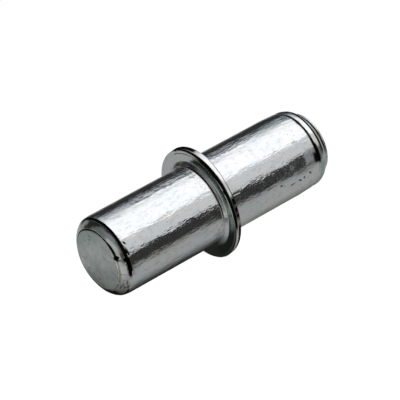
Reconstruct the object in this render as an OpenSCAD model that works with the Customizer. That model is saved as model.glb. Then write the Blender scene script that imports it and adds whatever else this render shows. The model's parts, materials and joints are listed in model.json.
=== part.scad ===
// Shelf support pin: one cold-formed, zinc-plated steel piece. The plug goes into a 5 mm
// hole in the cabinet side until the collar seats on it, and the shelf lies on the other
// half. The pin is modelled as it is fitted: level along X, the cabinet side at -X and the
// shelf at +X. The origin is on the pin's axis, at the collar's seat. Millimetres, +Z up.

/* [Barrels] */
// Diameter of both halves, a slip fit in a 5 mm hole
barrel_d = 4.9; // [4.5:0.05:8]
// Length of the plug, from the collar's seat to its end face
plug_len = 7.6; // [4:0.1:20]
// Length of the shelf half, from the collar's seat to the tip of its end disc
shelf_len = 8.4; // [4:0.1:30]

/* [Collar] */
// How far the collar stands out from the barrels, all round
collar_lip = 0.95; // [0.5:0.05:3]
// Thickness of the collar
collar_t = 0.34; // [0.3:0.01:2]
// Radius of the hollow fillets between the collar and the barrels
root_r = 0.25; // [0.05:0.01:0.3]
// Radius of the rounded corners of the rim
rim_r = 0.12; // [0.02:0.01:0.14]

/* [Plug end] */
// Width of the bevelled ring between the end disc and the barrel, across the axis
bevel_w = 0.52; // [0.2:0.02:0.9]
// Length of the bevel along the axis
bevel_len = 0.48; // [0.2:0.02:1]
// How far the barrel draws in towards the bevel's crisp edge
edge_drop = 0.04; // [0.01:0.01:0.1]
// Length over which the barrel draws in
edge_run = 0.4; // [0.1:0.02:1]
// How far the end disc stands proud of the bevel
disc_proud = 0.06; // [0.02:0.01:0.15]

/* [Shelf end] */
// How far the shelf half draws in before the shoulder
neck_drop = 0.04; // [0.01:0.01:0.1]
// Length over which it draws in
neck_run = 0.9; // [0.2:0.05:1.5]
// Length of the rounded shoulder along the axis
shoulder_len = 0.86; // [0.4:0.05:1.5]
// How far the shoulder draws in, across the axis
shoulder_drop = 0.47; // [0.2:0.01:0.9]
// How far the shoulder bulges out between its two ends
shoulder_bulge = 0.145; // [0.02:0.005:0.2]
// Depth and half width of the seam where the shoulder starts
seam = 0.05; // [0.02:0.01:0.1]
// Thickness of the end disc that stands proud of the shoulder
tip_proud = 0.26; // [0.1:0.01:0.4]
// How far the end disc lies inside the shoulder's end, all round
tip_step = 0.05; // [0.02:0.01:0.3]

/* [Flap] */
// Where the folded flap on the bevel starts, in degrees round the pin from +Y towards +Z
flap_from = 149; // [0:1:359]
// How far round the pin the flap reaches, in degrees
flap_angle = 50; // [10:1:120]
// How far the flap stands proud of the bevel
flap_t = 0.09; // [0.03:0.01:0.15]
// Radius of the three-cornered tear beside the flap
tear_r = 0.14; // [0.05:0.01:0.25]

/* [Hidden] */
$fn = 96;
ARC_STEPS = 6;
BOW_STEPS = 8;
BEVEL_BULGE = 0.03;      // how far the bevel bulges out
DISC_SINK = 0.04;        // how far the foot of the bevel lies outside the disc's wall
EDGE_R = 0.03;           // rounding of both end discs
FLAP_ROOT = 0.2;         // how deep the flap is rooted in the pin
FLAP_RISE = 0.15;        // share of the bevel over which the flap rises from the end disc
FLAP_FALL = 0.9;         // share of its own reach at which the flap starts to fall again
FLAP_TAPER = 0.8;        // its thickness there, against its thickness at the disc
THICK_REACH = 0.86;      // share of the bevel that the flap's thick half covers
THICK_SHARE = 0.5;       // share of the flap's angle that the thick half takes
THIN_SHARE = 0.6;        // thickness of the thin half, against the thick one's
HALF_OVERLAP = 1;        // degrees by which the two halves overlap
DRAW_BULGE = 0.25;       // bulge of the drawn-in ends of both halves, as a share of the drop
TEAR_OFFSET = 5;         // degrees from the flap's start back to the tear
TEAR_DEPTH = 0.15;       // how deep the tear is, along the axis
barrel_r = barrel_d / 2;
collar_r = barrel_r + collar_lip;
disc_r = barrel_r - bevel_w;
bevel_foot = [disc_r + DISC_SINK, disc_proud - plug_len];
bevel_edge = [barrel_r - edge_drop, bevel_len - plug_len];
shoulder_r = barrel_r - shoulder_drop;
tip_r = shoulder_r - tip_step;
shoulder_end = shelf_len - tip_proud;
shoulder_start = shoulder_end - shoulder_len;
neck_r = barrel_r - neck_drop;

// The outlines below are points [distance from the axis, place along the axis].

// Round corner about a centre, from one angle to another
function corner(centre, r, from, to) =
    [for (i = [0:ARC_STEPS]) let (a = from + (to - from) * i / ARC_STEPS) centre + r * [cos(a), sin(a)]];

// Shallow bow from p to q that stands out to its right by h
function bow(p, q, h) =
    let (d = q - p, out = [d.y, -d.x] / norm(d))
    [for (i = [0:BOW_STEPS]) let (t = i / BOW_STEPS) p + d * t + out * 4 * h * t * (1 - t)];

// Plug: end disc, bevel and the drawn-in end of the barrel
function plug_outline() = concat(
    [[0, -plug_len]],
    corner([disc_r - EDGE_R, EDGE_R - plug_len], EDGE_R, -90, 0),
    bow(bevel_foot, bevel_edge, BEVEL_BULGE),
    bow(bevel_edge, [barrel_r, bevel_edge.y + edge_run], edge_drop * DRAW_BULGE)
);

// Collar with its two hollow fillets and its rounded rim
function collar_outline() = concat(
    corner([barrel_r + root_r, -root_r], root_r, 180, 90),
    corner([collar_r - rim_r, rim_r], rim_r, -90, 0),
    corner([collar_r - rim_r, collar_t - rim_r], rim_r, 0, 90),
    corner([barrel_r + root_r, collar_t + root_r], root_r, 270, 180)
);

// Shelf half: drawn-in end, seam, rounded shoulder and the disc that stands proud of it
function shelf_outline() = concat(
    bow([barrel_r, shoulder_start - neck_run], [neck_r, shoulder_start - seam], neck_drop * DRAW_BULGE),
    [[neck_r - seam, shoulder_start]],
    bow([neck_r - seam / 2, shoulder_start + seam], [shoulder_r, shoulder_end], shoulder_bulge),
    [[tip_r, shoulder_end]],
    corner([tip_r - EDGE_R, shelf_len - EDGE_R], EDGE_R, 0, 90),
    [[0, shelf_len]]
);

// The turned form of the whole pin, along X
module blank() {
    rotate([0, 90, 0])
        rotate_extrude()
            polygon(concat(plug_outline(), collar_outline(), shelf_outline()));
}

// One stretch of the flap: it starts on the end disc's wall, stands proud of the bevel by t
// and reaches over a share of the bevel. Its root lies inside the pin.
module fold(from, angle, t, reach, root) {
    d = bevel_edge - bevel_foot;
    out = [d.y, -d.x] / norm(d);
    rotate([from, 0, 0])
        rotate([0, 90, 0])
            rotate([0, 0, 90])
                rotate_extrude(angle = angle)
                    polygon([
                        [disc_r - DISC_SINK, disc_proud / 2 - plug_len],
                        bevel_foot + FLAP_RISE * d + out * t,
                        bevel_foot + FLAP_FALL * reach * d + out * FLAP_TAPER * t,
                        bevel_foot + reach * d,
                        bevel_foot + reach * d - out * root,
                        bevel_foot - out * root
                    ]);
}

// Metal folded over the bevel at one side of the plug's end. Its thick half stops short of
// the barrel's edge, and its thin half runs out into the barrel.
module flap() {
    thick = THICK_SHARE * flap_angle;
    fold(flap_from, thick + HALF_OVERLAP, flap_t, THICK_REACH, FLAP_ROOT);
    fold(flap_from + thick, flap_angle - thick, THIN_SHARE * flap_t, 1, FLAP_ROOT + flap_t);
}

// Three-cornered tear in the end disc's edge, beside the flap
module tear() {
    rotate([flap_from - TEAR_OFFSET, 0, 0])
        translate([-plug_len - TEAR_DEPTH, disc_r, 0])
            rotate([0, 90, 0])
                cylinder(h = 2 * TEAR_DEPTH, r = tear_r, $fn = 3);
}

module support_pin() {
    color("silver")
        difference() {
            union() {
                blank();
                flap();
            }
            tear();
        }
}

support_pin();
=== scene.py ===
# %% [markdown]
# # A zinc-plated shelf support pin
#
# The pin is a few millimetres of cold-formed steel. One half, the plug, sits in a 5 mm hole
# in the cabinet side; the shelf lies on the other half; the collar between them stops the
# pin at the right depth. It is one solid piece, so this lesson makes one mesh and spends its
# care on three things: the turned form, the marks that the press and the tumbling barrel
# left on it, and the way bare zinc mirrors whatever stands round it.
#
# Everything is in metres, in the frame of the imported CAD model. Sizes that the drawing
# already holds are read from it, so the dressed pin always fits the CAD one.

import json
import math
import random

import bmesh
import bpy
import numpy as np
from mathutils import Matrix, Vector


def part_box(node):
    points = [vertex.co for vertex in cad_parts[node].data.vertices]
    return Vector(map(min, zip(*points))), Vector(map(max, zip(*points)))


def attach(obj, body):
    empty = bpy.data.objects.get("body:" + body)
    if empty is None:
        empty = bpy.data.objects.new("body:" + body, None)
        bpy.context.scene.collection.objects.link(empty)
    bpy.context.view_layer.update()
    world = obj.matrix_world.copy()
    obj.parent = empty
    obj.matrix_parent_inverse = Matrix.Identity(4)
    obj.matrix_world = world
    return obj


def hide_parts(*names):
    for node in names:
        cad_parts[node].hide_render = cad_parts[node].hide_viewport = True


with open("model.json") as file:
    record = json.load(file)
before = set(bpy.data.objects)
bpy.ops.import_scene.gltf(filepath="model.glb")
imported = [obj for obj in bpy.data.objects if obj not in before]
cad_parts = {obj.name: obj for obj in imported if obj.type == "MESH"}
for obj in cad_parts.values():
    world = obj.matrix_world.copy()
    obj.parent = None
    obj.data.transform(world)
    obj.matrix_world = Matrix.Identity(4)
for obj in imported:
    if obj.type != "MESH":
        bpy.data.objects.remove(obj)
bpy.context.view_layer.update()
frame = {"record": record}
MM = 0.001


# %% [markdown]
# ## Sizes
#
# The outline is easiest to think about in millimetres, as on a workshop drawing. The overall
# length and the collar's radius come from the CAD box, and the barrels' radius and the
# place of the collar's back face come from the mounts in the imported record.

# %% Read the pin's sizes from the frame
low_corner, high_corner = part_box("support_pin")
mounts = {mount["name"]: mount for mount in frame["record"]["mounts"]}
plug_end = low_corner.x / MM
tip_end = high_corner.x / MM
collar_r = high_corner.z / MM
barrel_r = mounts["plug"]["dims"]["r_mm"]
collar_back = mounts["collar_shelf_face"]["pos_m"][0] / MM
print(f"plug end {plug_end:.2f}, tip {tip_end:.2f}, barrels r {barrel_r:.2f}, collar r {collar_r:.2f}")

# %% [markdown]
# ## Small forms
#
# The shear leaves a bevel and a thin proud disc at the plug's end, and the die draws the
# other end in before its round shoulder. Modifiers could cut such forms, but sizes with names
# are simpler: each is written once, and a change is one number in one place.

# %% Sizes of the small forms, in millimetres
bevel_w = 0.585
disc_proud = 0.06
disc_r = barrel_r - bevel_w
edge_r = 0.04
root_r = 0.25
rim_back = 0.03
neck_drop = 0.04
neck_run = 0.98
seam = 0.05
tip_proud = 0.26
shoulder_len = 0.86
shoulder_drop = 0.47
shoulder_bulge = 0.155
tip_step = 0.05
shoulder_end = tip_end - tip_proud
shoulder_start = shoulder_end - shoulder_len
shoulder_r = barrel_r - shoulder_drop
tip_r = shoulder_r - tip_step
neck_r = barrel_r - neck_drop
print(f"end disc r {disc_r:.3f}, tip disc r {tip_r:.2f}, shoulder from {shoulder_start:.2f}")

# %% [markdown]
# ## The outline
#
# A turned part is drawn as half a section: points given as (place along the axis, distance
# from it). Three helpers cover every stretch of it: a straight run, a round corner and a
# shallow bow. Each gets a number of steps, so that crisp corners receive many points and long
# plain barrels few. The name of each stretch is kept, because later marks are placed by it.

# %% Helpers for the outline
outline = []
stretch_of = []


def add_point(stretch, x, r):
    if outline and math.dist(outline[-1], (x, r)) < 1e-6:
        return
    outline.append((x, r))
    stretch_of.append(stretch)


def straight(stretch, start, end, steps):
    for i in range(steps + 1):
        t = i / steps
        add_point(stretch, start[0] + (end[0] - start[0]) * t, start[1] + (end[1] - start[1]) * t)


def corner(stretch, centre, radius, start, end, steps):
    for i in range(steps + 1):
        a = math.radians(start + (end - start) * i / steps)
        add_point(stretch, centre[0] + radius * math.cos(a), centre[1] + radius * math.sin(a))


def bow(stretch, start, end, bulge, steps):
    along = Vector(end) - Vector(start)
    out = Vector((-along.y, along.x)).normalized()
    for i in range(steps + 1):
        t = i / steps
        p = Vector(start) + along * t + out * (4 * bulge * t * (1 - t))
        add_point(stretch, p.x, p.y)


print("helpers for the outline: straight, corner, bow")

# %% [markdown]
# ### The plug
#
# From its middle outwards the end is a nearly flat disc, a bevel, a crease that the shear
# pressed in, and the barrel, which flares a little before the collar. The points between
# stretches have names, so that no stretch can miss its neighbour.

# %% Draw the plug: end disc, bevel, black crease and barrel
bevel_end = plug_end + 0.51
face_flat = (plug_end, disc_r - 0.3)
face_rim = (plug_end + 0.012, disc_r - edge_r)
disc_foot = (plug_end + disc_proud + 0.015, disc_r)
bevel_foot = (disc_foot[0], disc_r + 0.05)
bevel_edge = (plug_end + 0.4, barrel_r - 0.11)
crease_floor = (plug_end + 0.45, barrel_r - 0.12)
crease_end = (bevel_end, barrel_r - 0.045)
wall_start = (plug_end + 0.88, barrel_r)
flare_start = (-0.85, barrel_r)
root_start = (-0.35, barrel_r + 0.052)
straight("face", (plug_end, 0), face_flat, 22)
straight("face", face_flat, face_rim, 10)
corner("disc_edge", (face_rim[0] + edge_r, face_rim[1]), edge_r, 180, 90, 5)
straight("disc_wall", (plug_end + edge_r, disc_r), disc_foot, 2)
straight("disc_wall", disc_foot, bevel_foot, 2)
bow("bevel", bevel_foot, bevel_edge, 0.036, 16)
straight("crease", bevel_edge, crease_floor, 3)
straight("crease", crease_floor, crease_end, 3)
bow("plug", crease_end, wall_start, 0.01, 8)
straight("plug", wall_start, flare_start, 70)
bow("plug", flare_start, root_start, -0.013, 8)
print(f"plug drawn with {len(outline)} points")

# %% [markdown]
# ### The collar
#
# The collar is pressed out of the wire between two dies. Its root is tight on the plug's
# side, where it seats on the cabinet, and hollow on the shelf's side. The front edge of its
# rim is drawn as a chamfer, and a later step makes it crisp where the die was full.

# %% Draw the collar
ROOT_TIGHT = 0.14
CHAMFER_X, CHAMFER_R = 0.12, 0.2
root_lean = math.radians(12)
root_centre = (
    root_start[0] - ROOT_TIGHT * math.sin(root_lean),
    root_start[1] + ROOT_TIGHT * math.cos(root_lean),
)
fillet_end = (0.02, barrel_r + 0.262)
face_end = (0, collar_r - CHAMFER_R)
rim_start = (CHAMFER_X, collar_r)
rim_end = (collar_back - rim_back, collar_r)
back_centre = (collar_back + root_r, barrel_r + root_r)
corner("front_fillet", root_centre, ROOT_TIGHT, 282, 318, 7)
straight("front_fillet", outline[-1], fillet_end, 8)
straight("collar_face", fillet_end, face_end, 10)
straight("rim_front", face_end, rim_start, 8)
straight("rim", rim_start, rim_end, 4)
corner("rim_back", (rim_end[0], collar_r - rim_back), rim_back, 90, 0, 5)
straight("collar_back", (collar_back, collar_r - rim_back), (collar_back, back_centre[1]), 6)
corner("back_fillet", back_centre, root_r, 180, 270, 9)
print(f"plug and collar drawn with {len(outline)} points")

# %% [markdown]
# ### The shelf half
#
# The barrel draws in a little, a seam shows where the end was closed, and a round shoulder
# leads to a small proud disc. A bow makes the shoulder: one number says how round it is,
# where a spline would need several handles.

# %% Draw the shelf half: barrel, drawn-in neck, seam, shoulder and tip
neck_start = (shoulder_start - neck_run, barrel_r)
neck_low = (shoulder_start - 0.35, barrel_r - 0.03)
neck_end = (shoulder_start - seam, neck_r - 0.01)
seam_floor = (shoulder_start, neck_r - seam)
seam_end = (shoulder_start + 1.6 * seam, neck_r - seam / 2)
straight("shelf_half", (back_centre[0], barrel_r), neck_start, 62)
straight("neck", neck_start, neck_low, 8)
bow("neck", neck_low, neck_end, 0.003, 5)
straight("seam", neck_end, seam_floor, 3)
straight("seam", seam_floor, seam_end, 4)
bow("shoulder", seam_end, (shoulder_end, shoulder_r), shoulder_bulge, 30)
straight("tip_step", (shoulder_end, shoulder_r), (shoulder_end, tip_r), 2)
straight("tip_wall", (shoulder_end, tip_r), (tip_end - edge_r, tip_r), 8)
corner("tip_edge", (tip_end - edge_r, tip_r - edge_r), edge_r, 90, 0, 5)
straight("tip_face", (tip_end, tip_r - edge_r), (tip_end, 0), 10)
print(f"outline: {len(outline)} points, {len(set(stretch_of))} stretches")

# %% [markdown]
# ## Turning the outline
#
# A lathe is a rule: every point of the outline runs once round the axis. The Screw modifier
# could do it, but Geometry Nodes can also note on every vertex which point of the outline it
# came from, and the marks need that. A node tree in a script is many small wires, so the
# helpers come first: one adds a node and feeds its sockets, and two do sums.

# %% Helpers for node trees
def feed(made, sockets):
    """Wires or sets the inputs of a node, by their names or numbers."""
    for key, value in sockets.items():
        if isinstance(value, bpy.types.NodeSocket):
            made.id_data.links.new(value, made.inputs[key])
        else:
            made.inputs[key].default_value = value


def node(tree, kind, sockets=None, **settings):
    made = tree.nodes.new(kind)
    for key, value in settings.items():
        setattr(made, key, value)
    feed(made, sockets or {})
    return made


def calculate(tree, operation, *values, kind="ShaderNodeMath"):
    return node(tree, kind, dict(enumerate(values)), operation=operation).outputs[0]


def times(tree, a, b):
    return calculate(tree, "MULTIPLY", a, b)


print("helpers for node trees: feed, node, calculate, times")

# %% [markdown]
# ### The lathe
#
# The outline goes in as loose points. A grid with one row for each point and one column for
# each step round the pin takes its places from them, and merging by distance closes the seam
# and both poles.

# %% Turn the outline on a grid
def turned(tree, given):
    position = node(tree, "GeometryNodeInputPosition").outputs[0]
    index = node(tree, "GeometryNodeInputIndex").outputs[0]
    columns = calculate(tree, "ADD", given["Steps round"], 1)
    row = calculate(tree, "DIVIDE", calculate(tree, "ADD", index, 0.5), columns)
    ring = calculate(tree, "FLOOR", row)
    column = calculate(tree, "FLOORED_MODULO", index, columns)
    turn = times(tree, calculate(tree, "DIVIDE", column, given["Steps round"]), 2 * math.pi)
    size = node(tree, "GeometryNodeAttributeDomainSize", {"Geometry": given["Outline"]})
    rows = size.outputs["Point Count"]
    grid = node(tree, "GeometryNodeMeshGrid", {"Vertices X": rows, "Vertices Y": columns})
    wanted = {"Geometry": given["Outline"], "Value": position, "Index": ring}
    drawn = node(tree, "GeometryNodeSampleIndex", wanted, data_type="FLOAT_VECTOR").outputs["Value"]
    drawn = node(tree, "ShaderNodeSeparateXYZ", {0: drawn}).outputs
    y = times(tree, drawn["Y"], calculate(tree, "COSINE", turn))
    z = times(tree, drawn["Y"], calculate(tree, "SINE", turn))
    place = node(tree, "ShaderNodeCombineXYZ", {"X": drawn["X"], "Y": y, "Z": z}).outputs[0]
    note = {"Geometry": grid.outputs["Mesh"], "Name": "ring", "Value": ring}
    noted = node(tree, "GeometryNodeStoreNamedAttribute", note, data_type="FLOAT", domain="POINT")
    moved = node(tree, "GeometryNodeSetPosition", {"Geometry": noted.outputs[0], "Position": place})
    closed = {"Geometry": moved.outputs[0], "Distance": 1e-7}
    return node(tree, "GeometryNodeMergeByDistance", closed).outputs[0]


print("the lathe is ready")

# %% [markdown]
# ### The tumbling barrel
#
# Parts tumble against each other after plating, and each knock leaves a dish a few microns
# deep. Bump alone would not show in the outline, so the dishes are real: points are scattered
# with a fixed seed, and every vertex sinks by its distance to the nearest one.

# %% Sink a dish round each scattered point
def tumbled(tree, given, surface):
    position = node(tree, "GeometryNodeInputPosition").outputs[0]
    normal = node(tree, "GeometryNodeInputNormal").outputs[0]
    scatter = {"Mesh": surface, "Density": given["Dents per square metre"], "Seed": given["Seed"]}
    dents = node(tree, "GeometryNodeDistributePointsOnFaces", scatter).outputs["Points"]
    nearest = node(tree, "GeometryNodeSampleNearest", {"Geometry": dents}).outputs["Index"]
    size = {2: 0.25, "Seed": given["Seed"]}
    size = node(tree, "FunctionNodeRandomValue", size, data_type="FLOAT").outputs[1]

    def of_nearest(value, data_type):
        wanted = {"Geometry": dents, "Value": value, "Index": nearest}
        return node(tree, "GeometryNodeSampleIndex", wanted, data_type=data_type).outputs["Value"]

    place = of_nearest(position, "FLOAT_VECTOR")
    share = of_nearest(size, "FLOAT")
    apart = calculate(tree, "DISTANCE", position, place, kind="ShaderNodeVectorMath")
    reach = times(tree, given["Dent radius"], share)
    far = calculate(tree, "DIVIDE", apart.node.outputs["Value"], reach)
    inside = calculate(tree, "SUBTRACT", 1, far)
    inside.node.use_clamp = True
    dish = calculate(tree, "SMOOTH_MIN", inside, 1, 0.5)
    depth = times(tree, times(tree, dish, inside), given["Dent depth"])
    sunk = times(tree, times(tree, depth, share), -1)
    offset = node(tree, "ShaderNodeVectorMath", {0: normal, "Scale": sunk}, operation="SCALE")
    moved = {"Geometry": surface, "Offset": offset.outputs[0]}
    return node(tree, "GeometryNodeSetPosition", moved).outputs[0]


print("the tumbling barrel is ready")

# %% [markdown]
# ### The finished blank
#
# The tree takes the drawing and its sizes as named inputs, so that each can be tried in the
# modifier panel. The result is kept as a plain mesh, because the marks that follow are single
# ones, which formulas place more easily than nodes.

# %% Build the tree, run it and keep its mesh
LATHE_INPUTS = {
    "Outline": "Geometry", "Steps round": "Int", "Dents per square metre": "Float",
    "Dent radius": "Float", "Dent depth": "Float", "Seed": "Int", "Material": "Material",
}


def lathe_tree():
    tree = bpy.data.node_groups.new("turned_and_tumbled", "GeometryNodeTree")
    for name, kind in LATHE_INPUTS.items():
        tree.interface.new_socket(name, in_out="INPUT", socket_type="NodeSocket" + kind)
    tree.interface.new_socket("Pin", in_out="OUTPUT", socket_type="NodeSocketGeometry")
    given = node(tree, "NodeGroupInput").outputs
    surface = tumbled(tree, given, turned(tree, given))
    smooth = node(tree, "GeometryNodeSetShadeSmooth", {"Geometry": surface}).outputs[0]
    real = node(tree, "GeometryNodeRealizeInstances", {"Geometry": smooth}).outputs[0]
    painted = {"Geometry": real, "Material": given["Material"]}
    painted = node(tree, "GeometryNodeSetMaterial", painted).outputs[0]
    node(tree, "NodeGroupOutput", {"Pin": painted})
    return tree


def set_inputs(modifier, values):
    for item in modifier.node_group.interface.items_tree:
        if item.name in values:
            modifier[item.identifier] = values[item.name]


def add_object(name, data):
    made = bpy.data.objects.new(name, data)
    bpy.context.scene.collection.objects.link(made)
    return made


zinc = bpy.data.materials.new("zinc_plate")
drawing = bpy.data.meshes.new("outline")
drawing.from_pydata([(x * MM, r * MM, 0) for x, r in outline], [], [])
blank = add_object("outline", drawing)
turning = blank.modifiers.new("turning", "NODES")
turning.node_group = lathe_tree()
set_inputs(turning, {
    "Steps round": 280, "Dents per square metre": 6.0e6, "Dent radius": 0.28 * MM,
    "Dent depth": 0.006 * MM, "Seed": 7, "Material": zinc,
})
graph = bpy.context.evaluated_depsgraph_get()
mesh = bpy.data.meshes.new_from_object(blank.evaluated_get(graph))
bpy.data.objects.remove(blank)
print(f"turned mesh: {len(mesh.vertices)} vertices, {len(mesh.polygons)} faces")

# %% [markdown]
# ## Marks of the press
#
# The plain turned form is too clean. On the real pin the shear has folded a flap over the
# bevel and torn a small corner out of the end disc, and the die has left a ragged seam. These
# are single marks. They could be sculpted by hand, but formulas can be changed and run again:
# each vertex knows its ring in the outline and its angle round the pin. A number for each
# vertex, grime, records where dirt lies and where shade is painted on the metal.

# %% Read the mesh into arrays
count = len(mesh.vertices)
places = np.empty(count * 3)
mesh.vertices.foreach_get("co", places)
places = places.reshape(-1, 3) / MM
ring = np.empty(count)
mesh.attributes["ring"].data.foreach_get("value", ring)
ring = np.rint(ring).astype(int)
drawn = np.array(outline)
tangent = np.gradient(drawn, axis=0)
tangent /= np.linalg.norm(tangent, axis=1)[:, None]
outward = np.stack([-tangent[:, 1], tangent[:, 0]], axis=1)
stretch = np.array(stretch_of)[ring]
psi = np.degrees(np.arctan2(places[:, 2], places[:, 1])) % 360
run = np.concatenate([[0], np.cumsum(np.linalg.norm(np.diff(drawn, axis=0), axis=1))])
grime = np.zeros(count)
print(f"outline is {run[-1]:.2f} mm long")

# %% [markdown]
# ### Soft edges and crooked lines
#
# Nothing on a worn part starts sharply, and no line on it is straight. So every mark is a
# product of soft steps, and its edge is moved by a sum of sine waves round the pin, drawn
# from a seed, which gives the same crooked line in each run.

# %% Helpers for soft edges
WAVES = 9  # sine waves in each crooked line


def rise(start, end, value):
    """Smooth step: 0 below start, 1 above end."""
    t = np.clip((value - start) / (end - start), 0, 1)
    return t * t * (3 - 2 * t)


def past(edge, value, soft):
    """1 past the edge, fading over soft at both sides of it."""
    return rise(edge - soft, edge + soft, value)


def between(start, end, value, soft):
    """1 from start to end, fading over soft at both sides."""
    return past(start, value, soft) * (1 - past(end, value, soft))


def hump(value, width):
    """1 where the value is 0, fading out over the width."""
    return np.exp(-((value / width) ** 2))


def arc(start, end, soft, shift=0):
    """1 from one angle round the pin to another; shift makes its ends crooked."""
    return between(start, end, psi + shift, soft)


def wobble(seed, top):
    """Irregular closed curve round the pin, about -1 to 1, with up to top bends."""
    draw = random.Random(seed)
    total = np.zeros(count)
    for _ in range(WAVES):
        n = draw.randint(2, top)
        total += math.sqrt(2 / n) * np.sin(np.radians(n * psi) + draw.uniform(0, 2 * math.pi))
    return total / math.sqrt(WAVES)


print("a soft step at its start, middle and end:", [float(past(0, v, 1)) for v in (-1, 0, 1)])

# %% [markdown]
# ### Where a mark lies and what it does
#
# A mark is placed by its stretch, its share of that stretch, and its angle round the pin from
# +Y towards +Z. It can push the metal along the outline's normal, and it can darken it with
# dirt and with painted shade. These darkenings don't add up: where two marks meet, the darker
# one stays.

# %% Helpers for the marks
RIGHT, DOWN, UP = 132, 222, 42  # angles round the pin, seen by someone who faces the plug


def on(*names):
    """Which vertices lie on the named stretches."""
    return np.isin(stretch, names)


def share_of(name):
    """How far along the named stretch each vertex lies, from 0 to 1."""
    inside = [i for i, s in enumerate(stretch_of) if s == name]
    first, last = run[inside[0]], run[inside[-1]]
    return (run[ring] - first) / (last - first)


def angle_from(angle):
    """Signed distance round the pin from an angle, in degrees."""
    return (psi - angle + 180) % 360 - 180


def push(amount, *names):
    """Moves the named stretches, or all, outwards along the outline's normal, in millimetres."""
    if names:
        amount = np.where(on(*names), amount, 0)
    normal = outward[ring]
    places[:, 0] += amount * normal[:, 0]
    places[:, 1] += amount * normal[:, 1] * np.cos(np.radians(psi))
    places[:, 2] += amount * normal[:, 1] * np.sin(np.radians(psi))


def soil_and_shade(amount, *names):
    """Adds dirt and painted shade where amount says so, on the named stretches or on all."""
    if names:
        amount = np.where(on(*names), amount, 0)
    np.maximum(grime, np.clip(amount, 0, 1), out=grime)


def oval(along, across, half_length, half_width, turn):
    """1 at the middle of an oval that is turned by some degrees, fading outwards."""
    c, s = math.cos(math.radians(turn)), math.sin(math.radians(turn))
    return hump(along * c + across * s, half_length) * hump(across * c - along * s, half_width)


print(f"vertices on the bevel: {on('bevel').sum()}")

# %% [markdown]
# ### The flap
#
# When the shear let go, it dragged a tongue of metal over the bevel. A separate sheet would
# have to be joined; raising the bevel's own vertices keeps the piece whole. The tongue starts
# thick and stops short of the crease, which leaves a gap, painted black as shade, and then it
# runs out thin. Shade is also painted on the barrel just past the bevel's edge, beside the gap.

# %% Fold the flap, open its gap and paint shade into it
flap_from, flap_to, flap_split = 149, 199, 173
thick, thin = 0.09, 0.06
bevel_share = share_of("bevel")
in_thick_half = psi < flap_split
flap_span = arc(flap_from, flap_to, 1.2, 1.5 * wobble(3, 60))
thick_end = 0.90 + 0.05 * wobble(5, 60)
reach = np.where(in_thick_half, 1 - past(thick_end, bevel_share, 0.04), 1)
thickness = np.where(in_thick_half, thick, thin) * (1 - 0.3 * bevel_share)
push(flap_span * reach * thickness * rise(0, 0.1, bevel_share), "bevel")
gap_start = thick_end + 0.03 - 0.25 * arc(flap_from - 3, flap_from + 5, 3)
gap = arc(flap_from - 1, flap_split + 1, 2)
gap = gap * np.where(on("bevel"), past(gap_start, bevel_share, 0.03), 1)
push(-0.08 * gap, "bevel", "crease")
# Painted shade in the gap.
soil_and_shade(gap, "bevel", "crease")
past_edge = on("plug") * (1 - rise(0.02, 0.14, places[:, 0] - bevel_end))
# Painted shade on the barrel just past the bevel's edge, beside the gap.
soil_and_shade(arc(150, 170, 2, 3 * wobble(8, 50)) * past_edge)
print(f"the flap covers {flap_to - flap_from} degrees")

# %% [markdown]
# ### The tear
#
# Beside the flap the disc's edge is missing a three-cornered bit. A boolean cut would do it
# and would spoil the clean rings of faces, so the vertices inside a small triangle sink, and
# shade is painted into the hollow.

# %% Tear the disc's edge
tear_at, tear_size = 144.5, 0.2
across_tear = np.abs(angle_from(tear_at)) * math.pi / 180 * disc_r
from_axis = np.hypot(places[:, 1], places[:, 2])
tear = 1 - across_tear / tear_size - np.clip(disc_r - from_axis, 0, 1) / tear_size
tear = on("face", "disc_edge", "disc_wall") * np.clip(tear, 0, 1)
places[:, 0] += 0.1 * rise(0, 0.3, tear)
# Painted shade inside the tear, on the disc and on the bevel.
soil_and_shade(rise(0, 0.25, tear))
bevel_tear = on("bevel") * np.clip(1 - across_tear / 0.17 - bevel_share / 0.45, 0, 1)
push(-0.05 * rise(0, 0.3, bevel_tear))
soil_and_shade(rise(0, 0.25, bevel_tear))
print(f"tear placed, {(tear > 0).sum()} vertices")

# %% [markdown]
# ### Black lines of painted shade at the plug's end
#
# The crease and the foot of the disc each show as a thin black line of painted shade, which
# fades on one side of the pin; the lower side of the bevel and of the disc's edge is painted
# dark as shade too. As grime on the vertices the lines keep to the form, which a
# texture would only meet by luck.

# %% Paint shade into the crease, along the disc's foot and on the underside
crease_line = 1 - arc(178, 206, 6)
# Painted shade in the crease.
soil_and_shade(crease_line, "crease")
soil_and_shade(crease_line * rise(0.955, 0.985, bevel_share) * arc(48, 175, 12), "bevel")
disc_line = 1 + 0.15 * wobble(21, 40)
# from angle, to angle, softness (degrees), how much of the line is lost there
for start, end, soft, loss in (
    (56, 112, 10, 0.25), (150, 202, 3, 0.9), (202, 232, 6, 0.85), (232, 300, 6, 0.5)
):
    disc_line -= loss * arc(start, end, soft)
disc_line = np.clip(disc_line, 0, 1)
# Painted shade along the disc's foot.
soil_and_shade(disc_line, "disc_wall")
line_end = -0.02 + 0.15 * arc(118, 146, 12) + 0.04 * wobble(27, 50)
soil_and_shade(disc_line * (1 - past(line_end, bevel_share, 0.04)), "bevel")
under = arc(222, 318, 12)
# Painted shade on the lower side of the bevel, the crease and the barrel's edge.
soil_and_shade(0.9 * under, "bevel", "crease")
soil_and_shade(0.9 * under * past_edge)
# Painted shade along the disc's edge and the face's rim on the left and lower side.
edge_side = arc(232, 345, 15)
soil_and_shade(edge_side, "disc_edge")
rim_line = rise(disc_r - 0.085, disc_r - 0.06, from_axis + 0.01 * wobble(57, 60))
soil_and_shade(edge_side * rim_line, "face")
print(f"grime so far: {100 * grime.mean():.1f} % of the vertices")

# %% [markdown]
# ### Specks on the flap
#
# The torn metal is rough, so dark specks and a pale stain stay on it. There are only a few,
# and each has its own place, so they are a small table and a loop.

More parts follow.
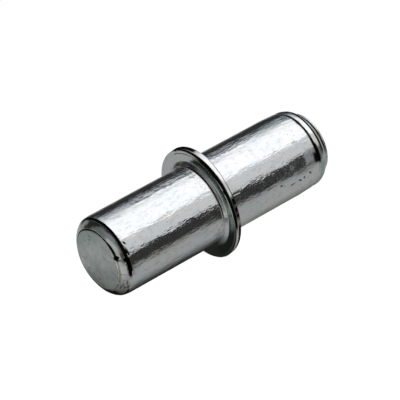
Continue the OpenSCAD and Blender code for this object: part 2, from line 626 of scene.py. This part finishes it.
# %% Put specks and stains on the flap
FLAP_SPECKS = (
    # share of the bevel, angle, half width (degrees), half length (share)
    (0.75, 188, 5, 0.10),
    (0.9, 196, 4, 0.12),
    (0.6, 201, 5, 0.09),
    (0.35, 194, 4, 0.08),
    (0.2, 205, 6, 0.1),
)
for speck_share, speck_psi, half_turn, half_share in FLAP_SPECKS:
    beyond = bevel_share - speck_share
    near = hump(angle_from(speck_psi + 6 * beyond), half_turn) * hump(beyond, half_share)
    soil_and_shade(near * (0.6 + 0.4 * wobble(59, 90)), "bevel")
stain = arc(166, 206, 4, 3 * wobble(23, 50))
rim_gap = from_axis - disc_r + 0.06 * wobble(25, 50)
soil_and_shade(0.3 * stain * hump(rim_gap, 0.1) * (places[:, 0] < plug_end + 0.3))
beside_tear = arc(139, 149, 2, wobble(29, 50)) * rise(0.45, 0.6, bevel_share)
soil_and_shade(0.55 * beside_tear, "bevel")
print(f"{len(FLAP_SPECKS)} specks on the flap")

# %% [markdown]
# ### The seam
#
# Where the die closed the end, a crooked black seam runs round it: wide at the front, almost
# gone at the back, with a dark patch beside it at one side. Its width and its place both
# wobble, so that it never looks like a drawn ring.

# %% Darken the seam and the patch beside it
SHELF_END = ("neck", "seam", "shoulder")
from_seam = places[:, 0] - shoulder_start
seam_width = 0.03 + 0.055 * arc(85, 165, 15) + 0.04 * wobble(11, 60)
seam_place = 0.02 + 0.045 * wobble(13, 40)
seam_place += 0.05 * arc(60, 104, 8) * wobble(75, 120)
at_seam = 1 - past(seam_width, np.abs(from_seam - seam_place), 0.02)
seam_side = (1 - 0.85 * arc(168, 300, 5)) * (0.74 + 0.2 * wobble(73, 30))
soil_and_shade(at_seam * seam_side, *SHELF_END)
push(-0.03 * between(0.2, 0.8, share_of("seam"), 0.2), "seam")
knot = arc(97, 104, 2) * hump(from_seam, 0.1)
soil_and_shade(knot, *SHELF_END)
low_side = arc(139, 166, 4, 3 * wobble(31, 40))
low_side *= between(0, 0.17 + 0.03 * wobble(37, 40), from_seam, 0.04)
soil_and_shade(0.85 * low_side, *SHELF_END)
patch = arc(150, 165, 3, 2.5 * wobble(33, 60))
patch *= between(-0.29 + 0.05 * wobble(35, 60), 0.1, from_seam, 0.06)
soil_and_shade(0.87 * patch, *SHELF_END)
print(f"the seam is {2 * seam_width.min():.2f} to {2 * seam_width.max():.2f} mm wide")

# %% [markdown]
# ### Shoulder and tip
#
# The die also left two shallow grooves on the shoulder, and the small disc's wall is dull
# and darker. The grooves are pushed in, so that they catch the light, and shade is painted
# inside them; shade is painted into the tip's step as well.

# %% Groove the shoulder, paint shade into the grooves and the step, and darken the tip
SHOULDER_GROOVES = (
    # distance from the seam, half width (mm), last angle, seeds of its strength and its place
    (0.465, 0.075, 156, 41, 71),
    (0.74, 0.07, 168, 42, 72),
)
for groove_x, half_width, last_angle, seed, place_seed in SHOULDER_GROOVES:
    groove_place = groove_x + 0.012 * wobble(place_seed, 20)
    groove = 1 - past(half_width, np.abs(from_seam - groove_place), 0.012)
    groove *= np.clip(1 + 0.3 * wobble(seed, 30), 0, 1) * arc(20, last_angle, 8)
    push(-0.015 * groove, "shoulder")
    # Painted shade inside the groove.
    soil_and_shade(groove, "shoulder")
# Painted shade in the step under the tip's disc.
soil_and_shade(0.9, "tip_step")
wall_line = between(0.1, 0.55, share_of("tip_wall") + 0.06 * wobble(49, 20), 0.08)
soil_and_shade(wall_line * arc(10, 158, 12) + 0.2 * wobble(45, 40), "tip_wall")
soil_and_shade(np.clip(0.6 + 0.3 * wobble(47, 40), 0.2, 0.9), "tip_edge")
print(f"{len(SHOULDER_GROOVES)} grooves on the shoulder")

# %% [markdown]
# ### Handling
#
# Pins travel loose in a bag, which leaves a nick in the collar's rim and a few dark dashes on
# the barrels. They could be scattered, but a table lets each one sit where it is wanted.

# %% Nick the rim and mark both halves
nick = hump(angle_from(53), 1.1)
push(-0.09 * nick, "rim_front", "rim")
# The nick is painted black as shade inside it.
soil_and_shade(1.3 * nick * rise(0.3, 0.5, share_of("rim_front")), "rim_front", "rim")
BARRELS = ("plug", "shelf_half", "neck")
HANDLING = (
    # place along, angle round, half length, half width (mm), turn (degrees), strength
    (-6.92, 129.5, 0.10, 0.045, 60, 1.0),
    (-7.0, 142.0, 0.22, 0.05, 80, 1.0),
    (5.13, 177.5, 0.16, 0.04, -10, 1.0),
    (5.68, 177.0, 0.11, 0.05, 40, 1.0),
    (6.03, 176.5, 0.07, 0.055, 60, 1.0),
    (6.5, 174.0, 0.12, 0.04, 65, 0.9),
    (4.24, 170.0, 0.08, 0.05, 0, 0.9),
    (1.11, 147.0, 0.22, 0.025, 4, 0.9),
)
for along, angle, half_length, half_width, turn, strength in HANDLING:
    aside = angle_from(angle) * math.pi / 180 * barrel_r
    mark = oval(places[:, 0] - along, aside, half_length, half_width, turn)
    push(-0.02 * mark, *BARRELS)
    soil_and_shade(0.75 * strength * rise(0.15, 0.45, mark), *BARRELS)
print(f"grime covers {100 * grime.mean():.1f} % of the vertices")

# %% [markdown]
# ### Dull, rolled and tarnished metal, with painted shade and a painted highlight
#
# The sheared ends are duller than the rolled barrels, the barrels are hammered in places, and
# the zinc has a faint blue-green tarnish. The tarnish number also paints shade on the right and
# lower side of the collar's face, the lower side of the shoulder and one band of the bevel, and
# the dull number carries a painted highlight on the end face. Separate materials would meet at
# hard lines, so three more numbers for each vertex say how much of each it has. Rolled goes
# above 1 where the metal is flecked.

# %% How dull and how rolled the metal is
dull = 0.7 * on("face", "disc_edge", "tip_edge", "tip_wall", "tip_face")
dull = np.maximum(dull, 0.35 * flap_span * on("bevel"))
rolled = 0.25 + 0.75 * on(*BARRELS) + 0.25 * on("face")
rolled -= 0.6 * arc(146, 168, 4) * between(5.2, 7.1, places[:, 0], 0.3)
hammered = between(-5.2, -0.9, places[:, 0], 0.8) + between(0.6, 4.6, places[:, 0], 0.6)
hammered += between(6.5, 7.25, places[:, 0], 0.15)
hammered *= arc(69, 88, 4, 4 * wobble(71, 60))
rolled += hammered * on(*BARRELS)
print(f"rolled is {rolled.min():.2f} to {rolled.max():.2f}")

# %% Where the zinc is tarnished, and where shade is painted with the tarnish colour
tarnish = np.zeros(count)


def tint(amount, *names):
    """Sets the tarnish and the painted shade of the named stretches."""
    tarnish[:] = np.where(on(*names), amount, tarnish)


face_share = from_axis / disc_r
end_tarnish = 0.95 * rise(0.35, 0.95, face_share) * arc(15, 95, 25)
end_tarnish += 0.5 * rise(0.4, 0.9, face_share) * arc(215, 300, 25)
tint(end_tarnish, "face")
# Painted shade: the collar's face darker round its right and lower side, the shoulder round its lower
# side.
tint(arc(84, 235, 6), "collar_face")
tint(0.9 * arc(166, 240, 8), "shoulder")
# Tarnish on the bevel; the band from 118 to 156 degrees is painted shade.
tint(0.45 * arc(56, 98, 8) + 0.3 * arc(118, 156, 10), "bevel")
blued = 0.45 * arc(40, 88, 10, 4 * wobble(67, 30))
tint(blued * rise(3.8, 5.6, places[:, 0]), "shelf_half", "neck")
blued = 0.5 * arc(46, 76, 8, 4 * wobble(69, 30))
tint(blued * (1 - rise(-6.6, -5.2, places[:, 0])), "plug")
print(f"tarnish on {100 * (tarnish > 0.1).mean():.0f} % of the vertices")

# %% [markdown]
# ### Painted shade and dark reflections on the collar
#
# The collar's front edge is painted black as a dark reflection, with a dark crescent at its
# upper right, its root holds a dark line of painted shade, and its rim is painted dark at one
# side with a ragged edge, at its back corner and at its far side. Each line follows the share
# of its own stretch, so it stays on the edge when a size changes.

# %% Paint dark reflections and shade on the collar's edge, root and rim
keen = 0.9 * (1 - arc(98, 175, 32))
edge = share_of("rim_front") + 0.05 * wobble(51, 60)
before_rim = 1 - rise(0.85, 1, edge)
black_edge = arc(63, 176, 8) * rise(0.45 * keen, 0.55 * keen + 0.01, edge)
# Painted dark reflection on the front edge's chamfer.
soil_and_shade(black_edge * before_rim, "rim_front")
# Painted dark reflection: a crescent on the front edge and the face's outer rim.
soil_and_shade(0.68 * arc(86, 124, 8) * before_rim, "rim_front")
soil_and_shade(0.55 * arc(88, 122, 8) * rise(0.8, 0.95, share_of("collar_face")), "collar_face")
root = between(0.04, 0.3, share_of("front_fillet") + 0.02 * wobble(53, 50), 0.05)
# Painted shade in the root.
soil_and_shade(0.95 * root * arc(70, 165, 15), "front_fillet")
# Painted dark reflection on the rim at one side, with a ragged edge.
soil_and_shade(arc(143, 168, 3) * (0.75 + 0.9 * wobble(55, 90)), "rim", "rim_back")
# Painted shade at the rim's back corner.
back_line = np.maximum(0.5 * arc(100, 130, 8), arc(128, 150, 4))
soil_and_shade(back_line, "rim_back")
soil_and_shade(0.8 * back_line * rise(0.8, 0.9, share_of("rim")), "rim")
# Painted dark reflection on two more stretches of the rim, and on its far side.
soil_and_shade(np.maximum(arc(56, 80, 3), arc(172, 232, 10)), "rim", "rim_back")
far_rim = (drawn[ring, 0] > 0.5 * CHAMFER_X) * (1 - rise(46, 50, np.abs(angle_from(16))))
soil_and_shade(0.9 * far_rim, "rim", "rim_front")
print(f"grime covers {100 * grime.mean():.1f} % of the vertices")

# %% [markdown]
# ### The end face
#
# The sheared face is matt, with short scratches and specks, and its edge has crumbled beside
# the flap. The scratches dent the metal by a hundredth of a millimetre: too little to see as
# a form, but enough to break the reflection, which paint alone would leave whole. A lighter
# patch in the face's middle is a painted highlight.

# %% Scratch the end face and paint a highlight on it
FACE_MARKS = (
    # to the right, down, half length, half width (mm), turn (degrees), strength
    (-0.23, -1.34, 0.09, 0.05, 30, 0.45),
    (0.0, -1.06, 0.07, 0.05, 0, 0.40),
    (0.32, -1.23, 0.08, 0.06, 0, 0.50),
    (0.54, -1.37, 0.12, 0.06, 45, 0.55),
    (-1.52, 0.30, 0.16, 0.06, 65, 0.54),
    (-1.28, 0.12, 0.13, 0.05, 40, 0.50),
    (-1.38, 0.66, 0.20, 0.06, 70, 0.56),
    (-1.10, 0.56, 0.14, 0.05, 50, 0.50),
    (-1.14, 1.05, 0.22, 0.06, 60, 0.56),
    (-0.86, 0.95, 0.12, 0.05, 45, 0.48),
    (-0.86, 1.42, 0.18, 0.06, 45, 0.56),
    (0.75, 0.15, 0.06, 0.05, 0, 0.35),
)
to_right = from_axis * np.cos(np.radians(psi - RIGHT))
to_down = from_axis * np.cos(np.radians(psi - DOWN))
for mark_x, mark_y, half_length, half_width, turn, strength in FACE_MARKS:
    mark = on("face") * oval(to_right - mark_x, to_down - mark_y, half_length, half_width, turn)
    places[:, 0] += 0.01 * mark
    soil_and_shade(strength * mark)
# A painted highlight: the middle of the face is made less dull, so it turns lighter.
painted_highlight = hump(to_right, 0.7) * hump(to_down + 0.55, 0.5)
dull -= 0.5 * painted_highlight * on("face")
print(f"{len(FACE_MARKS)} marks on the end face")

# %% Break the disc's edge beside the flap
edge_depth = disc_r - from_axis
broken_width = 0.14 + 0.1 * wobble(63, 60)
broken = flap_span * (1 - past(broken_width, edge_depth, 0.03)) * on("face", "disc_edge")
places[:, 0] += 0.07 * broken * np.clip(1 - edge_depth / 0.22, 0, 1)
dull -= 0.7 * broken
broken_line = 0.5 * flap_span * hump(edge_depth - broken_width, 0.03)
soil_and_shade(broken_line * (0.8 + 0.5 * wobble(65, 80)), "face")
print(f"the broken edge covers {(broken > 0.5).sum()} vertices")

# %% [markdown]
# ### Two dies that never meet in line
#
# The halves sit a twentieth of a millimetre off each other's axis, and the collar between
# them leans and runs thin at one side. A collar turned as a separate piece would gape at its
# roots, so its points slide along the axis by a cosine of their angle.

# %% Lean the collar and shift the two halves apart
COLLAR = ("front_fillet", "collar_face", "rim_front", "rim", "rim_back", "collar_back", "back_fillet")
clock = np.radians(angle_from(RIGHT))
lean = np.clip((drawn[ring, 1] - barrel_r) / 0.25, 0, 1) * on(*COLLAR)
t = share_of("rim_front")
keen = keen * on("rim_front")
chamfer_shift = keen * (np.clip(2 * t - 1, 0, 1) - t) * CHAMFER_X
to_back = np.clip((drawn[ring, 0] + chamfer_shift) / collar_back, 0, 1)
front_shift = -0.078 - 0.122 * np.cos(clock)
back_shift = -0.03 - 0.07 * np.cos(clock) - 0.05 * np.sin(clock)
back_shift -= 0.05 * hump(angle_from(RIGHT), 25)
places[:, 0] += lean * ((1 - to_back) * front_shift + to_back * back_shift)
places[:, 0] += chamfer_shift
stretch_out = 1 + keen * (np.clip(2 * t, 0, 1) - t) * CHAMFER_R / collar_r
places[:, 1:] *= stretch_out[:, None]
half_shift = 0.06 * (rise(-0.25, 0.6, drawn[ring, 0]) * 2 - 1)
places[:, 1] += half_shift * math.cos(math.radians(UP))
places[:, 2] += half_shift * math.sin(math.radians(UP))
collar_t = collar_back + back_shift - front_shift
print(f"collar thickness {collar_t.min():.2f} to {collar_t.max():.2f} mm")

# %% [markdown]
# ### One closed skin
#
# The four numbers become attributes that the material can read. Then doubles are merged and
# every face is turned outwards, because a printed or simulated part needs a closed skin.

# %% Write the arrays back and close the mesh
mesh.vertices.foreach_set("co", (places * MM).ravel())
for name, values in (("grime", grime), ("dull", dull), ("rolled", rolled), ("tarnish", tarnish)):
    layer = mesh.attributes.new(name, "FLOAT", "POINT")
    layer.data.foreach_set("value", values)
mesh.attributes.remove(mesh.attributes["ring"])
work = bmesh.new()
work.from_mesh(mesh)
bmesh.ops.remove_doubles(work, verts=work.verts, dist=1e-8)
bmesh.ops.recalc_face_normals(work, faces=work.faces)
open_edges = [e for e in work.edges if not e.is_manifold]
volume = work.calc_volume(signed=True)
if volume < 0:
    bmesh.ops.reverse_faces(work, faces=work.faces)
work.to_mesh(mesh)
work.free()
mesh.name = "pin_finish"
mesh.update()
pin = add_object("pin_finish", mesh)
print(f"open edges: {len(open_edges)}, volume {abs(volume) / MM ** 3:.1f} mm3")

# %% [markdown]
# ## Zinc plate
#
# Bright zinc is a mirror with a fine grain, nearly neutral with a breath of blue. Its
# reflections break up because the plating is not flat: there is a long shallow ripple from
# the wire drawing, small knocks, and a grain too fine to see. A picture of metal would look
# alike from every side, so the material gives each of them as bump at its own scale.

# %% Helpers for the material
def noise(tree, vector, scale, detail, rough, stretch_along, seed):
    moved = {"Vector": vector, "Scale": (stretch_along, 1, 1), "Location": (seed, seed * 0.7, seed * 0.3)}
    moved = node(tree, "ShaderNodeMapping", moved).outputs[0]
    pattern = {"Vector": moved, "Scale": scale, "Detail": detail, "Roughness": rough}
    return node(tree, "ShaderNodeTexNoise", pattern).outputs["Fac"]


def bump(tree, height, depth_mm, under=None):
    sockets = {"Height": height, "Distance": depth_mm * MM}
    if under is not None:
        sockets["Normal"] = under
    return node(tree, "ShaderNodeBump", sockets).outputs[0]


def ranged(tree, value, low, high, to_low, to_high):
    limits = {"Value": value, "From Min": low, "From Max": high, "To Min": to_low, "To Max": to_high}
    return node(tree, "ShaderNodeMapRange", limits).outputs[0]


def blend_colour(tree, factor, under, over):
    return node(tree, "ShaderNodeMix", {0: factor, 6: under, 7: over}, data_type="RGBA").outputs[2]


print("helpers for the material: noise, bump, ranged, blend_colour")

# %% [markdown]
# ### Pits and spots
#
# Plated metal has tiny pits and dried drops. A plain noise gives clouds, and the cells of a
# Voronoi pattern give separate spots: a share of the cells holds one, and a second noise
# makes them crooked.

# %% Helper for specks
def specks(tree, vector, scale, share, size):
    crooked = node(tree, "ShaderNodeTexNoise", {"Vector": vector, "Scale": 4 * scale}).outputs["Color"]
    aside = node(tree, "ShaderNodeVectorMath", {0: crooked, "Scale": 0.25 / scale}, operation="SCALE")
    moved = calculate(tree, "ADD", vector, aside.outputs[0], kind="ShaderNodeVectorMath")
    cells = node(tree, "ShaderNodeTexVoronoi", {"Vector": moved, "Scale": scale}).outputs
    chosen = node(tree, "ShaderNodeSeparateColor", {0: cells["Color"]}).outputs[0]
    spot = ranged(tree, cells["Distance"], 0.5 * size, size, 1, 0)
    return times(tree, spot, ranged(tree, chosen, 1 - share, 1 - 0.9 * share, 0, 1))


print("helper for specks is ready")

# %% [markdown]
# ### The colour of the metal
#
# The colour is laid on in layers, from clean zinc upwards: haze, flecks where the metal was
# hammered, the greener sheared face, and tarnish, which also carries painted shade. Each layer
# is one blend with its own mask, so any of them can be switched off to see what it does.

# %% Colour of the clean zinc, and of the tarnish that also paints shade
COOL_ZINC, WARM_ZINC = (0.75, 0.77, 0.79, 1), (0.80, 0.795, 0.775, 1)
SHEARED_DARK, SHEARED_LIGHT = (0.44, 0.49, 0.46, 1), (0.70, 0.71, 0.70, 1)
HAZE = (0.36, 0.375, 0.37, 1)
FLECK = (0.2, 0.21, 0.22, 1)
SCUFF = (0.33, 0.37, 0.35, 1)
TARNISHED_AND_SHADED = (0.43, 0.52, 0.49, 1)


def zinc_colour(tree, place, marked, patches, flecks):
    haze = noise(tree, place, 4200, 3, 0.7, 0.6, 5.0)
    blotches = noise(tree, place, 650, 3, 0.55, 1.0, 6.0)
    scuffs = noise(tree, place, 2400, 4, 0.7, 1.0, 7.0)
    rolled = blend_colour(tree, ranged(tree, patches, 0.4, 0.65, 0, 1), COOL_ZINC, WARM_ZINC)
    rolled = blend_colour(tree, ranged(tree, haze, 0.5, 0.72, 0, 0.45), rolled, HAZE)
    rolled = blend_colour(tree, flecks, rolled, FLECK)
    sheared = blend_colour(tree, ranged(tree, blotches, 0.4, 0.6, 0, 1), SHEARED_DARK, SHEARED_LIGHT)
    sheared = blend_colour(tree, ranged(tree, scuffs, 0.46, 0.62, 0, 0.75), sheared, SCUFF)
    clean = blend_colour(tree, marked["dull"], rolled, sheared)
    return blend_colour(tree, marked["tarnish"], clean, TARNISHED_AND_SHADED)


print("clean zinc:", COOL_ZINC, "to", WARM_ZINC)

# %% [markdown]
# ### The whole material
#
# Dirt and painted shade come last: they first stain the metal brown and then hide it, and
# they are rougher than the metal under them. The bumps are chained from coarse to fine, each
# with its own depth.

# %% Build the zinc material
STAIN_AND_SHADE, BLACK_DIRT_AND_SHADE = (0.34, 0.31, 0.265, 1), (0.008, 0.007, 0.006, 1)
RIPPLE_MM, KNOCK_MM, GRAIN_MM, FLECK_MM = 0.012, 0.03, 0.0045, 0.018


def build_zinc(material):
    material.use_nodes = True
    tree = material.node_tree
    place = node(tree, "ShaderNodeTexCoord").outputs["Object"]
    marked = {
        name: node(tree, "ShaderNodeAttribute", attribute_name=name).outputs["Fac"]
        for name in ("grime", "dull", "rolled", "tarnish")
    }
    ripple = noise(tree, place, 500, 2, 0.5, 0.35, 1.0)
    knocks = noise(tree, place, 3000, 3, 0.6, 0.35, 2.0)
    grain = noise(tree, place, 12000, 2, 0.6, 0.5, 3.0)
    patches = noise(tree, place, 900, 4, 0.6, 0.7, 4.0)
    fleck_noise = noise(tree, place, 8500, 3, 0.6, 0.5, 8.0)
    fleck_share = calculate(tree, "SUBTRACT", marked["rolled"], 1)
    fleck_share.node.use_clamp = True
    flecks = times(tree, ranged(tree, fleck_noise, 0.44, 0.6, 0, 0.62), fleck_share)
    bare = zinc_colour(tree, place, marked, patches, flecks)
    pits = times(tree, specks(tree, place, 4200, 0.2, 0.2), 0.3)
    spots = times(tree, times(tree, specks(tree, place, 3000, 0.4, 0.24), marked["dull"]), 0.8)
    dark = calculate(tree, "MAXIMUM", marked["grime"], calculate(tree, "MAXIMUM", pits, spots))
    # Dirt and painted shade first turn the metal brown, then black.
    stained_and_shaded = blend_colour(tree, ranged(tree, dark, 0, 0.42, 0, 1), bare, STAIN_AND_SHADE)
    colour = blend_colour(tree, ranged(tree, dark, 0.42, 0.7, 0, 1), stained_and_shaded, BLACK_DIRT_AND_SHADE)
    dirt_and_shade_rough = ranged(tree, dark, 0, 1, 0, 0.5)
    dull_rough = ranged(tree, marked["dull"], 0, 1, 0, 0.22)
    roughness = ranged(tree, patches, 0.35, 0.7, 0.1, 0.16)
    roughness = calculate(tree, "ADD", roughness, calculate(tree, "ADD", dirt_and_shade_rough, dull_rough))
    relief = bump(tree, ripple, RIPPLE_MM)
    relief = bump(tree, times(tree, knocks, marked["rolled"]), KNOCK_MM, relief)
    relief = bump(tree, grain, GRAIN_MM, relief)
    relief = bump(tree, times(tree, fleck_noise, fleck_share), FLECK_MM, relief)
    metal = {"Base Color": colour, "Metallic": 1, "Roughness": roughness, "Normal": relief}
    feed(tree.nodes["Principled BSDF"], metal)


build_zinc(zinc)
print(f"{zinc.name}: {len(zinc.node_tree.nodes)} nodes")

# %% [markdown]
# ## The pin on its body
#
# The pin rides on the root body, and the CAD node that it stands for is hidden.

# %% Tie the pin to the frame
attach(pin, "root")
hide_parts("support_pin")
print("the finished pin replaces its CAD node")

# %% [markdown]
# ## Camera
#
# The pin is seen from in front of its plug, a little to the side and from well above, with a
# long lens close enough that the far half looks slightly smaller. A constraint could aim the
# camera; a direction in two angles is easier to read and to change.

# %% Place the camera
VIEW_AZIMUTH = math.radians(-41.19)
VIEW_ELEVATION = math.radians(38.97)
VIEW_DISTANCE = 147 * MM
LENS_MM = 230.1
SHIFT_RIGHT, SHIFT_UP = 0.043 * MM, 0.189 * MM
level = math.cos(VIEW_ELEVATION)
right = Vector((math.cos(VIEW_AZIMUTH), math.sin(VIEW_AZIMUTH), 0))
back = Vector((math.sin(VIEW_AZIMUTH) * level, -math.cos(VIEW_AZIMUTH) * level, math.sin(VIEW_ELEVATION)))
up = back.cross(right)
camera = add_object("camera", bpy.data.cameras.new("camera"))
camera.data.lens = LENS_MM
camera.data.clip_start = 10 * MM
camera.data.clip_end = 10
camera.location = back * VIEW_DISTANCE + right * SHIFT_RIGHT + up * SHIFT_UP
camera.rotation_mode = "QUATERNION"
camera.rotation_quaternion = (-back).to_track_quat("-Z", "Y")
bpy.context.scene.camera = camera
print("camera at", [round(c / MM, 1) for c in camera.location], "mm")

# %% [markdown]
# ## Floor and light
#
# The floor is plain and nearly white, and lies well below the pin, which is held in the air
# as a cabinet side would hold it. The paper glows a little for the camera and for mirrors
# only, so it looks white without throwing more light on the metal.

# %% Make the floor
FLOOR_DROP = 140 * MM
FLOOR_HALF = 2.0
PAPER_GLOW = 0.2
floor_mesh = bpy.data.meshes.new("floor")
corners = ((-1, -1), (1, -1), (1, 1), (-1, 1))
corners = [(x * FLOOR_HALF, y * FLOOR_HALF, -FLOOR_DROP) for x, y in corners]
floor_mesh.from_pydata(corners, [], [(0, 1, 2, 3)])
floor = add_object("floor", floor_mesh)
paper = bpy.data.materials.new("white_paper")
paper.use_nodes = True
rays = node(paper.node_tree, "ShaderNodeLightPath").outputs
seen = calculate(paper.node_tree, "ADD", rays["Is Camera Ray"], rays["Is Glossy Ray"])
seen = calculate(paper.node_tree, "ADD", seen, rays["Is Transmission Ray"])
feed(paper.node_tree.nodes["Principled BSDF"], {
    "Base Color": (0.85, 0.85, 0.85, 1), "Roughness": 0.9, "Specular IOR Level": 0,
    "Emission Color": (1, 1, 1, 1), "Emission Strength": times(paper.node_tree, seen, PAPER_GLOW),
})
floor_mesh.materials.append(paper)
print(f"floor {2 * FLOOR_HALF:.0f} m wide, {FLOOR_DROP / MM:.0f} mm below the pin")

# %% [markdown]
# ### Plain light
#
# A white world and one broad lamp light the pin evenly, at a level at which a colour renders
# about as it is written. The lamp is hidden from the mirror: the cards of the next step
# settle what the metal shows.

# %% Set the world and the lamp
LAMP_SIZE = 0.3
LAMP_HEIGHT = 0.2
world = bpy.data.worlds.new("studio")
world.use_nodes = True
feed(world.node_tree.nodes["Background"], {"Color": (1, 1, 1, 1), "Strength": 0.8})
bpy.context.scene.world = world
lamp = add_object("broad_lamp", bpy.data.lights.new("broad_lamp", "AREA"))
lamp.data.shape = "SQUARE"
lamp.data.size = LAMP_SIZE
lamp.data.energy = 1.2 * math.pi * LAMP_SIZE ** 2
lamp.location = (0, 0, LAMP_HEIGHT)
lamp.visible_glossy = False
print(f"lamp {lamp.data.energy:.2f} W")

# %% [markdown]
# ## What the metal sees
#
# A mirror shows its surroundings, so a metal part is lit by arranging what stands round it: a
# white diffuser above, black cards that give dark edges, and a grey table. Lamps of such
# shapes would light the floor too, so these are glowing cards that only reflections can see,
# with edges that fade out.

# %% The material of a card
def card_material(name, colour, fades):
    material = bpy.data.materials.new(name)
    material.use_nodes = True
    tree = material.node_tree
    glow = {
        "Base Color": (0, 0, 0, 1), "Specular IOR Level": 0,
        "Emission Color": (*colour, 1), "Emission Strength": 1,
    }
    across = node(tree, "ShaderNodeUVMap", uv_map="card").outputs[0]
    across = node(tree, "ShaderNodeSeparateXYZ", {0: across}).outputs
    for axis, (low, high) in zip("XY", fades):
        for start, end in ((0, low), (1, 1 - high)):
            if start == end:
                continue
            fade = {"Value": across[axis], "From Min": start, "From Max": end}
            fade = node(tree, "ShaderNodeMapRange", fade, interpolation_type="SMOOTHSTEP").outputs[0]
            glow["Alpha"] = times(tree, glow["Alpha"], fade) if "Alpha" in glow else fade
    feed(tree.nodes["Principled BSDF"], glow)
    return material


print("the card material is ready")

# %% [markdown]
# ### A card of any shape
#
# A card is a grid whose points a small function places: flat, or on a bow round the pin's
# axis, which makes it one clean band on the barrels. Its own coordinates from 0 to 1 carry
# the fades.

# %% Make a card from a function
cards = []


def grid_card(name, place, colour, fades=((0, 0), (0, 0)), steps=48, rows=9):
    """place(u, v) gives the card's point in millimetres; colour is what it sends out."""
    columns = steps + 1
    coordinates = [(i / steps, j / (rows - 1)) for j in range(rows) for i in range(columns)]
    corners = [[c * MM for c in place(u, v)] for u, v in coordinates]
    faces = [
        (j * columns + i, j * columns + i + 1, (j + 1) * columns + i + 1, (j + 1) * columns + i)
        for j in range(rows - 1)
        for i in range(steps)
    ]
    made = bpy.data.meshes.new(name)
    made.from_pydata(corners, [], faces)
    layer = made.uv_layers.new(name="card")
    for loop in made.loops:
        layer.data[loop.index].uv = coordinates[loop.vertex_index]
    made.materials.append(card_material(name, colour, fades))
    card = add_object(name, made)
    for rays in ("camera", "diffuse", "shadow", "transmission", "volume_scatter"):
        setattr(card, "visible_" + rays, False)
    cards.append(name)


def as_shares(fade, start, end):
    return fade[0] / (end - start), fade[1] / (end - start)


print("cards so far:", len(cards))

# %% [markdown]
# ### Round the pin
#
# The room, the diffuser and the dark side of the studio are bent cards. Their order from the
# pin outwards matters: a nearer card hides what stands behind it.

# %% Hang the bent cards
def bent_card(name, turn, along, radius, colour, fade_turn, fade_along):
    """A card bent round the axis: turn in degrees from +Y towards +Z, along in millimetres."""

    def place(u, v):
        a = math.radians(turn[0] + (turn[1] - turn[0]) * u)
        return along[0] + (along[1] - along[0]) * v, radius * math.cos(a), radius * math.sin(a)

    grid_card(name, place, colour, (as_shares(fade_turn, *turn), as_shares(fade_along, *along)))


LENS_BLACK = (0.02, 0.024, 0.024)
BENT_CARDS = (
    # name, turn, along, radius, colour, fades of the turn, fades along
    ("dark_room", (-60, 240), (-400, 400), 160, (0.035, 0.034, 0.033), (0, 0), (0, 0)),
    ("softbox", (9, 117), (-70, 400), 130, (1.27, 1.29, 1.31), (62, 3), (50, 0)),
    ("cool_edge", (8, 62), (-70, 400), 145, (0.07, 0.10, 0.135), (14, 14), (50, 0)),
    ("bounce", (114, 156.2), (-60, 400), 140, (0.685, 0.70, 0.70), (0, 1.2), (50, 0)),
    ("side_grey", (15, 200), (-400, -60), 150, (0.265, 0.275, 0.28), (80, 0), (0, 40)),
    ("front_grey", (150, 188), (103, 124), 135, (0.34, 0.36, 0.37), (0, 0), (3, 4)),
    ("lens", (92, 176), (-230, 14), 120, LENS_BLACK, (24, 20), (90, 14)),
    ("lens_top", (-40, 116), (-108, -42), 119, LENS_BLACK, (8, 24), (14, 10)),
    ("lens_side", (44, 116), (-150, -90), 119, LENS_BLACK, (20, 24), (30, 8)),
    ("behind_plug", (-60, 80), (-400, -120), 152, (0.16, 0.17, 0.17), (10, 30), (0, 20)),
    ("teal", (62, 170), (-100, -40), 118, (0.12, 0.155, 0.15), (30, 15), (14, 8)),
    ("far_strip", (-24, 2), (-400, -5), 150, (0.30, 0.305, 0.28), (6, 6), (0, 20)),
)
for card in BENT_CARDS:
    bent_card(*card)
print("cards so far:", len(cards))

# %% [markdown]
# ### Before, behind and under the pin
#
# Two upright walls close the room at its ends. The table is a level card just under the pin,
# with darker and lighter sheets on it. Cards cast no shadow on each other, so the pin's own
# soft shadow is a card as well.

# %% Stand the end walls and lay the table
def end_wall(name, x, reach, colour):
    """An upright card across the axis."""
    grid_card(name, lambda u, v: (x, reach * (2 * u - 1), reach * (2 * v - 1)), colour)


def flat_card(name, low, high, level, colour, fade_x, fade_y):
    """A level card between two corners (x, y), in millimetres."""

    def place(u, v):
        return low[0] + (high[0] - low[0]) * u, low[1] + (high[1] - low[1]) * v, level

    fades = (as_shares(fade_x, low[0], high[0]), as_shares(fade_y, low[1], high[1]))
    grid_card(name, place, colour, fades)


FLAT_CARDS = (
    # name, two corners (x, y), height, colour, fades in x, fades in y
    ("table", (-90, -32), (90, 18), -3.9, (0.38, 0.395, 0.39), (10, 10), (24, 7)),
    ("contact_shadow", (-12, -5.2), (3.6, 4.2), -3.7, (0.019, 0.02, 0.017), (6, 3), (3.9, 2.4)),
    ("shelf_shadow", (0, -4.0), (13.2, 4), -3.75, (0.17, 0.17, 0.155), (5, 5.5), (3, 2)),
    ("grey_sheet", (-11, -26), (-3.6, -7.5), -3.85, (0.12, 0.15, 0.145), (1.5, 1.5), (5, 2)),
    ("white_slip", (-42, -30), (-11, 1.2), -3.8, (0.53, 0.54, 0.51), (3, 1.5), (3, 1.5)),
)
end_wall("wall_behind_plug", -395, 160, (0.49, 0.51, 0.50))
end_wall("wall_before_tip", 395, 160, (0.34, 0.34, 0.32))
for card in FLAT_CARDS:
    flat_card(*card)
print("cards:", ", ".join(cards))

# %% [markdown]
# ## Finish
#
# The picture is shown without any tone curve.

# %% Finish
bpy.context.scene.view_settings.view_transform = "Standard"
bpy.context.view_layer.update()
